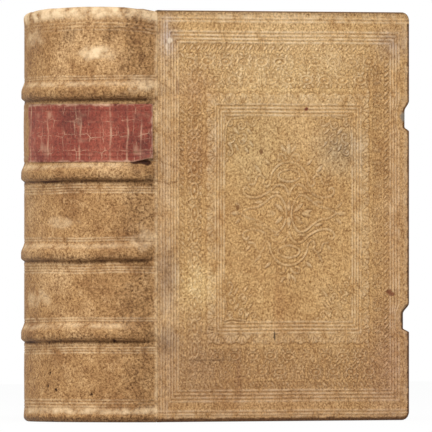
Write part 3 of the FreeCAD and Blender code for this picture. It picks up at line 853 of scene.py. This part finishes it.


# Old calfskin: mottled, scratched and pored, pale where rubbed, dark where dirt has settled and where shade is
# painted in

def makeLeatherGroup():
    tree = bpy.data.node_groups.new("agedLeather", "ShaderNodeTree")
    for side, kind, names in (("INPUT", "Vector", ["Vector"]),
                              ("INPUT", "Color", ["Base", "Light", "Dark", "Rubbed"]),
                              ("INPUT", "Float", ["Shade", "Wear", "Grime", "Mottle", "Grain"]),
                              ("OUTPUT", "Color", ["Color"]), ("OUTPUT", "Float", ["Roughness", "Height"])):
        for name in names:
            tree.interface.new_socket(name, in_out=side, socket_type="NodeSocket" + kind)
    given, end = tree.nodes.new("NodeGroupInput").outputs, tree.nodes.new("NodeGroupOutput").inputs
    vector, light, dark, wear, grime = [given[name] for name in ("Vector", "Light", "Dark", "Wear", "Grime")]
    broad = noiseField(vector, 34, 3, 0.6)
    middle = noiseField(vector, 170, 5, 0.65)
    small = noiseField(vector, 820, 3, 0.65)
    fine = noiseField(vector, 1600, 2, 0.6)
    flecks = noiseField(vector, 900, 1, 0.5)
    streaks = noiseField(vector, 130, 4, 0.6, (0.35, 0.35, 3.2))
    pits = ramp(cells(vector, 1350, "F1"), 0.12, 0.42, 1.0, 0.0)
    creases = ramp(cells(vector, 520, "DISTANCE_TO_EDGE"), 0.0, 0.10, 1.0, 0.0)

    colour = given["Base"]
    for field, low, high, most, tint in (
            (broad, 0.50, 0.68, 1.0, light), (broad, 0.46, 0.30, 1.0, dark),
            (middle, 0.52, 0.70, 0.75, light), (middle, 0.46, 0.30, 0.80, dark),
            (small, 0.42, 0.27, 0.75, dark)):
        mask = times(ramp(field, low, high, 0.0, most), given["Mottle"])
        colour = mix(mask, colour, tint)
    colour = mix(ramp(streaks, 0.60, 0.72, 0.0, 0.30), colour, light)
    colour = mix(times(pits, 0.22), colour, dark)
    grain = plus(times(ramp(small, 0.34, 0.66), 0.55),
                 times(ramp(fine, 0.32, 0.68), 0.45))
    grained = mix(ramp(grain, 0.12, 0.88), tinted(colour, (0.4, 0.31, 0.22)),
                  tinted(colour, (1.38, 1.46, 1.62)))
    colour = mix(given["Grain"], colour, grained)
    colour = mix(ramp(flecks, 0.30, 0.22, 0.0, 0.55), colour, (0.15, 0.065, 0.022))
    colour = mix(times(wear, ramp(middle, 0.34, 0.60)), colour, given["Rubbed"])
    colour = mix(times(given["Shade"], 0.72), colour, tinted(colour, (0.5, 0.4, 0.3)))
    # weak grime-and-shade values darken the pits, strong ones cover all; they carry real dirt and painted
    # shade
    covering = calc("MAXIMUM", ramp(small, 0.30, 0.58, 1.0, 0.35), times(grime, grime))
    colour = mix(times(grime, covering), colour, tinted(colour, (0.13, 0.062, 0.022)))
    feed(end["Color"], colour)

    rough = plus(ramp(middle, 0.3, 0.7, 0.56, 0.72), times(wear, 0.12))
    feed(end["Roughness"], rough)
    height = times(pits, -0.35)
    for field, share in ((creases, -0.30), (small, 0.9), (fine, 0.35)):
        height = plus(height, times(field, share))
    feed(end["Height"], height)
    return tree


leatherGroup = makeLeatherGroup()

tanLeather = {
    "base": (0.57, 0.336, 0.13), "light": (0.7, 0.455, 0.205), "dark": (0.4, 0.198, 0.064),
    "rubbed": (0.79, 0.58, 0.35), "mottle": 0.55, "grain": 0.9, "bump": 0.8, "bumpDistance": 0.00035,
}
spineLeather = {
    **tanLeather, "base": (0.395, 0.215, 0.08), "light": (0.56, 0.345, 0.155), "dark": (0.235, 0.106, 0.034),
    "mottle": 0.85, "grain": 1,
}
spots = [  # stains of the front cover: across from the joint, height, half sizes, colour, strength
    (94.2, 156.9, 1.3, 1, (0.16, 0.022, 0.01), 0.9), (65.4, 135.2, 1.3, 1.6, (0.17, 0.07, 0.022), 0.85),
    (50.6, 107.5, 1.2, 1.4, (0.19, 0.08, 0.026), 0.8), (146.9, 64.9, 1.9, 1.2, (0.18, 0.055, 0.022), 0.85),
    (148.5, 63.7, 2, 1.2, (0.18, 0.055, 0.022), 0.85), (73.8, 43, 0.7, 2.6, (0.045, 0.03, 0.02), 0.8),
    (33, 31, 15, 0.5, (0.17, 0.085, 0.034), 0.55), (157.5, 153.2, 3.4, 2.6, (0.21, 0.185, 0.15), 0.85),
    (157.5, 51.7, 2.6, 6.6, (0.055, 0.036, 0.022), 0.75), (7.7, 190.9, 1.7, 1.6, (0.79, 0.64, 0.47), 0.8),
    (5.9, 187.6, 1, 1.8, (0.76, 0.6, 0.43), 0.6), (12.5, 168, 1.4, 3.4, (0.26, 0.13, 0.055), 0.55),
]
washes = [  # broader tints: across, height, half sizes, colour, strength
    (85, 14, 95, 30, (0.4, 0.21, 0.09), 0.5), (26, 30, 27, 24, (0.29, 0.14, 0.06), 0.5),
    (152, 95, 15, 85, (0.43, 0.22, 0.096), 0.42), (115, 136, 15, 12, (0.42, 0.315, 0.185), 0.55),
    (24.5, 68, 11, 11, (0.8, 0.54, 0.225), 0.7), (24, 135, 14, 16, (0.42, 0.185, 0.082), 0.33),
    (23, 166, 12, 11, (0.42, 0.19, 0.084), 0.34), (75, 185, 62, 20, (0.76, 0.51, 0.235), 0.5),
    (85, 172, 36, 12, (0.79, 0.53, 0.225), 0.35), (148, 190, 10, 8, (0.33, 0.22, 0.145), 0.45),
    (7, 192, 6, 10, (0.38, 0.28, 0.2), 0.5), (77, 56, 4, 15, (0.4, 0.18, 0.058), 0.42),
    (51, 22, 2.2, 14, (0.33, 0.15, 0.058), 0.4), (6, 73, 7, 15, (0.23, 0.14, 0.078), 0.5),
    (6, 40, 7, 7, (0.2, 0.12, 0.066), 0.5), (4, 110, 8, 120, (0.45, 0.255, 0.11), 0.6),
    (146, 28, 17, 27, (0.4, 0.2, 0.1), 0.45), (58, 138, 24, 22, (0.58, 0.41, 0.185), 0.4),
]

backSpots = [
    (61, 72, 1.6, 1.9, (0.17, 0.07, 0.024), 0.8), (112, 148, 1.2, 1, (0.15, 0.06, 0.022), 0.8),
    (134, 38, 2.6, 1.4, (0.19, 0.085, 0.032), 0.7), (38, 171, 1.1, 2.2, (0.18, 0.08, 0.03), 0.7),
]
backWashes = [
    (80, 12, 95, 26, (0.38, 0.2, 0.086), 0.45), (30, 150, 24, 34, (0.42, 0.195, 0.088), 0.45),
    (104, 66, 22, 17, (0.74, 0.49, 0.21), 0.5), (150, 120, 13, 70, (0.41, 0.21, 0.092), 0.45),
    (84, 186, 60, 18, (0.72, 0.48, 0.22), 0.4), (66, 112, 20, 14, (0.44, 0.32, 0.18), 0.45),
]


def leatherOutputs(place, look, wear):
    # the leather group, fed with a look and with the values kept on the mesh
    inputs = {key.capitalize(): look[key] for key in ("base", "light", "dark", "rubbed", "mottle", "grain")}
    inputs.update(Vector=place, Wear=wear, Shade=meshValue(place, "shade"), Grime=meshValue(place, "grime"))
    return newNode("Group", inputs, node_tree=leatherGroup).outputs


def makeTanLeather(name, look, stains=()):
    # stains are washes, which tint the leather and keep its grain, and spots, which cover it
    material, place = newMaterial(name, 0.16)
    leather = leatherOutputs(place, look, meshValue(place, "wear"))
    colour = leather["Color"]
    if stains:
        xyz = newNode("SeparateXYZ", {"Vector": place}).outputs
        rag = times(ramp(noiseField(place, 420, 3), 0.0, 1.0, -0.55, 0.55), 0.8)
    for keepsGrain, soft, places in zip((True, False), (0.9, 0.35), stains):
        for across, high, halfWide, halfHigh, tint, amount in places:
            reach = (("X", book["jointX"] + across, halfWide), ("Z", high, halfHigh))
            sides = [times(calc("SUBTRACT", xyz[axis], middle * mm), 1 / (half * mm))
                     for axis, middle, half in reach]
            away = calc("SQRT", plus(*[times(side, side) for side in sides]))
            mask = ramp(plus(away, rag), 1.0 - soft, 1.0 + soft * 0.5, amount, 0.0)
            if keepsGrain:
                tint = tinted(colour, tuple(t / b for t, b in zip(tint, look["base"])))
            colour = mix(mask, colour, tint)
    return finishMaterial(material, colour, leather["Roughness"], leather["Height"], look["bump"],
                          look["bumpDistance"])


redLeather = {
    "base": (0.228, 0.042, 0.022), "light": (0.335, 0.084, 0.046), "dark": (0.115, 0.022, 0.012),
    "rubbed": (0.62, 0.4, 0.255), "mottle": 0.8, "grain": 0.60, "bump": 0.5, "bumpDistance": 0.0003,
    "nets": [(0.13, 0.034, 0.75), (0.37, 0.052, 0.42)],        # cells per mm, half line, strength
}


def makeRedLeather():
    material, place = newMaterial("redLabelLeather", 0.3)
    height = newNode("SeparateXYZ", {"Vector": place}).outputs["Z"]
    unrolled = {"X": meshValue(place, "along"), "Y": times(height, 1 / mm)}
    flat = newNode("CombineXYZ", unrolled).outputs[0]
    waver = newNode("TexNoise", {"Scale": 0.5, "Vector": flat}).outputs["Color"]
    bent = newNode("VectorMath", {0: flat, 1: waver}, operation="ADD").outputs[0]
    # nets of fine pale cracks on the unrolled label, broken here and there
    wear = meshValue(place, "wear")
    broken = ramp(noiseField(flat, 0.22, 2), 0.36, 0.56)
    for count, halfLine, amount in redLeather["nets"]:
        crack = ramp(cells(bent, count, "DISTANCE_TO_EDGE", 0.36, "2D"), 0.0, halfLine, amount, 0.0)
        wear = calc("MAXIMUM", wear, times(crack, broken))
    leather = leatherOutputs(place, redLeather, wear)
    under = mix(ramp(noiseField(place, 700, 4), 0.35, 0.65), spineLeather["dark"],
                spineLeather["base"])
    colour = mix(meshValue(place, "bare"), leather["Color"], under)
    return finishMaterial(material, colour, leather["Roughness"], leather["Height"], redLeather["bump"],
                          redLeather["bumpDistance"])


# Paper, wood, thread and cord

paper = {"base": (0.64, 0.52, 0.335), "dark": (0.33, 0.225, 0.12), "edge": (0.5, 0.37, 0.215)}


def makePageEdges():
    # thin lines along the leaves, uneven in tone
    material, place = newMaterial("pageEdges", 0.3)
    leaves = noiseField(place, 55, 3, 0.7, (0.35, 38, 0.35))
    gathers = noiseField(place, 55, 2, 0.6, (0.3, 6, 0.3))
    patches = noiseField(place, 48, 4, 0.6)
    specks = noiseField(place, 900, 2, 0.5)
    colour = layered(paper["dark"], [
        (leaves, 0.35, 0.68, 1.0, paper["base"]), (gathers, 0.42, 0.28, 0.6, paper["edge"]),
        (patches, 0.50, 0.72, 0.55, paper["edge"]), (specks, 0.30, 0.20, 0.7, paper["dark"])])
    return finishMaterial(material, colour, 0.85, plus(leaves, times(gathers, 0.8)), 0.9, 0.0006)


def makeEndpaper():
    material, place = newMaterial("agedEndpaper", 0.3)
    clouds = noiseField(place, 26, 5, 0.6)
    fibres = noiseField(place, 420, 3, 0.6, (1, 1, 0.25))
    foxing = noiseField(place, 160, 2, 0.5)
    colour = layered((0.66, 0.545, 0.365), [
        (clouds, 0.38, 0.66, 1.0, (0.56, 0.43, 0.26)), (foxing, 0.66, 0.74, 0.75, (0.36, 0.2, 0.085)),
        (fibres, 0.55, 0.75, 0.25, (0.74, 0.64, 0.46))])
    return finishMaterial(material, colour, 0.88, plus(fibres, clouds), 0.35, 0.0004)


def makeBoardWood(name, light, dark):
    material, place = newMaterial(name, 0.35)
    rings = noiseField(place, 60, 4, 0.6, (3, 3, 0.16))
    pores = noiseField(place, 500, 3, 0.6, (2, 2, 0.1))
    colour = layered(dark, [(rings, 0.35, 0.66, 1.0, light), (pores, 0.56, 0.70, 0.5, dark)])
    return finishMaterial(material, colour, 0.7, plus(rings, pores), 0.45, 0.0004)


def makeTwistedCord():
    material, place = newMaterial("hempCord", 0.3)
    twist = newNode("TexWave", {"Scale": 190, "Distortion": 2.0, "Vector": place},
                    wave_type="BANDS", bands_direction="DIAGONAL").outputs["Fac"]
    fibres = noiseField(place, 800, 3)
    colour = layered((0.27, 0.18, 0.095), [
        (twist, 0.2, 0.8, 1.0, (0.52, 0.4, 0.24)), (fibres, 0.55, 0.75, 0.6, (0.6, 0.49, 0.32))])
    return finishMaterial(material, colour, 0.9, plus(twist, fibres), 0.6, 0.0005)


def makeEndbandThread():
    material, place = newMaterial("endbandThread", 0.35)
    colour = layered((0.56, 0.43, 0.25), [
        (meshValue(place, "stripe"), 0.0, 1.0, 1.0, (0.18, 0.19, 0.15)),
        (noiseField(place, 120, 4), 0.40, 0.70, 0.65, (0.23, 0.14, 0.065)),
        (meshValue(place, "shade"), 0.0, 1.0, 0.75, (0.085, 0.05, 0.026))])
    return finishMaterial(material, colour, 0.75, noiseField(place, 1500, 3), 0.3, 0.0002)


tanFront = makeTanLeather("frontCoverCalf", tanLeather, (washes, spots))
tanBack = makeTanLeather("backCoverCalf", tanLeather, (backWashes, backSpots))
tanSpine = makeTanLeather("spineCalf", spineLeather)
redSkin = makeRedLeather()
endpaper = makeEndpaper()
pageEdges = makePageEdges()
boardWood = makeBoardWood("boardOak", (0.33, 0.19, 0.09), (0.17, 0.085, 0.036))
pegWood = makeBoardWood("pegWood", (0.47, 0.3, 0.15), (0.26, 0.145, 0.064))
twistedCord = makeTwistedCord()
threadWork = makeEndbandThread()
print("materials made")

frontSeams = [0, 0.2246, 0.7635, 1]               # shares of the height, between fillets of the inner frame
for part, low, high in zip(("Tail", "Middle", "Head"), frontSeams[:-1], frontSeams[1:]):
    coverPiece("frontSkin" + part, "front", tanFront, (low, high))
coverPiece("backSkin", "back", tanBack)
spinePiece(tanSpine)
labelPiece(redSkin)
endbandPiece("headEndbandWound", "head_endband", threadWork)
endbandPiece("tailEndbandWound", "tail_endband", threadWork)

finishes = [  # words in a node's name and its material; the first that fits counts
    ("text_block", pageEdges), ("flyleaf", endpaper), ("pastedown", endpaper), ("lining", endpaper),
    ("board", boardWood), ("peg", pegWood), ("cord", twistedCord), ("slip", twistedCord),
    ("endband", threadWork), ("label", redSkin), ("spine", tanSpine), ("cover", tanBack),
]
for name, node in nodes.items():
    finish = next(material for word, material in finishes if word in name)
    if not node.material_slots:
        node.data.materials.append(finish)
    for slot in node.material_slots:
        slot.material = finish
print("CAD pieces finished")


# Floor, light and camera

studio = {
    "floorTones": [(0.86, 0.86, 0.86), (0.88, 0.88, 0.88)], "floorWhite": 0.95, "worldStrength": 0.42,
    "azimuth": -37.5, "aim": (7.35, -5.64, 103.1), "frameWidth": 217.6, "halfAngle": 0.7,
    "key": {"place": (-0.88, -1.4, 1.76), "size": 0.6, "energy": 36.0},
    "fill": {"place": (-1.6, 0.25, 0.9), "size": 1.2, "energy": 12.0},
}


def whiten(plain, kind, share, output):
    # white for the rays that show the backdrop itself: straight, mirrored or passed through
    tree = plain.id_data
    rays = newNode("LightPath", {}, tree).outputs
    seen = calc("MAXIMUM", rays["Is Camera Ray"],
                calc("MAXIMUM", rays["Is Glossy Ray"], rays["Is Transmission Ray"]))
    white = newNode(kind, {"Color": (1, 1, 1), "Strength": 1.0}, tree)
    shaders = {0: times(seen, share), 1: plain.outputs[0], 2: white.outputs[0]}
    feed(tree.nodes[output].inputs["Surface"], newNode("MixShader", shaders).outputs[0])


def makeWorld():
    world = bpy.data.worlds.new("studioWorld")
    bpy.context.scene.world = world
    world.use_nodes = True
    soft = world.node_tree.nodes["Background"]
    feed(soft.inputs["Color"], (1, 1, 1))
    feed(soft.inputs["Strength"], studio["worldStrength"])
    whiten(soft, "Background", 1.0, "World Output")


def makeFloor():
    bm = bmesh.new()
    bmesh.ops.create_grid(bm, x_segments=2, y_segments=2, size=1.6)
    mesh = bpy.data.meshes.new("studioFloor")
    bm.to_mesh(mesh)
    bm.free()
    floor = addObject("studioFloor", mesh)
    material, place = newMaterial("paleFloor", 0.1)
    low, high = studio["floorTones"]
    colour = mix(ramp(noiseField(place, 6, 2), 0.3, 0.7), low, high)
    finishMaterial(material, colour, 0.9)
    whiten(material.node_tree.nodes["Principled BSDF"], "Emission", studio["floorWhite"], "Material Output")
    mesh.materials.append(material)


def turnTo(thing, target):
    thing.rotation_euler = (target - thing.location).to_track_quat("-Z", "Y").to_euler()


def addLamp(name, settings):
    light = bpy.data.lights.new(name, "AREA")
    light.shape = "SQUARE"
    light.size = settings["size"]
    light.energy = settings["energy"]
    lamp = addObject(name, light)
    lamp.location = settings["place"]
    turnTo(lamp, Vector((0, 0, 0.1)))


def makeCamera():
    camera = bpy.data.cameras.new("photoCamera")
    camera.sensor_width = 36.0
    camera.clip_start, camera.clip_end = 1.0, 60.0
    halfAngle, turn = radians(studio["halfAngle"]), radians(studio["azimuth"])
    camera.lens = 18.0 / np.tan(halfAngle)
    away = studio["frameWidth"] / 2 / np.tan(halfAngle)
    aim = Vector(studio["aim"]) * mm
    eye = addObject("photoCamera", camera)
    eye.location = aim + Vector((np.sin(turn), -np.cos(turn), 0)) * away * mm
    turnTo(eye, aim)
    bpy.context.scene.camera = eye


makeWorld()
makeFloor()
addLamp("softKey", studio["key"])
addLamp("softFill", studio["fill"])
makeCamera()
bpy.context.scene.view_settings.view_transform = "Standard"
print("stage, lights and camera set")
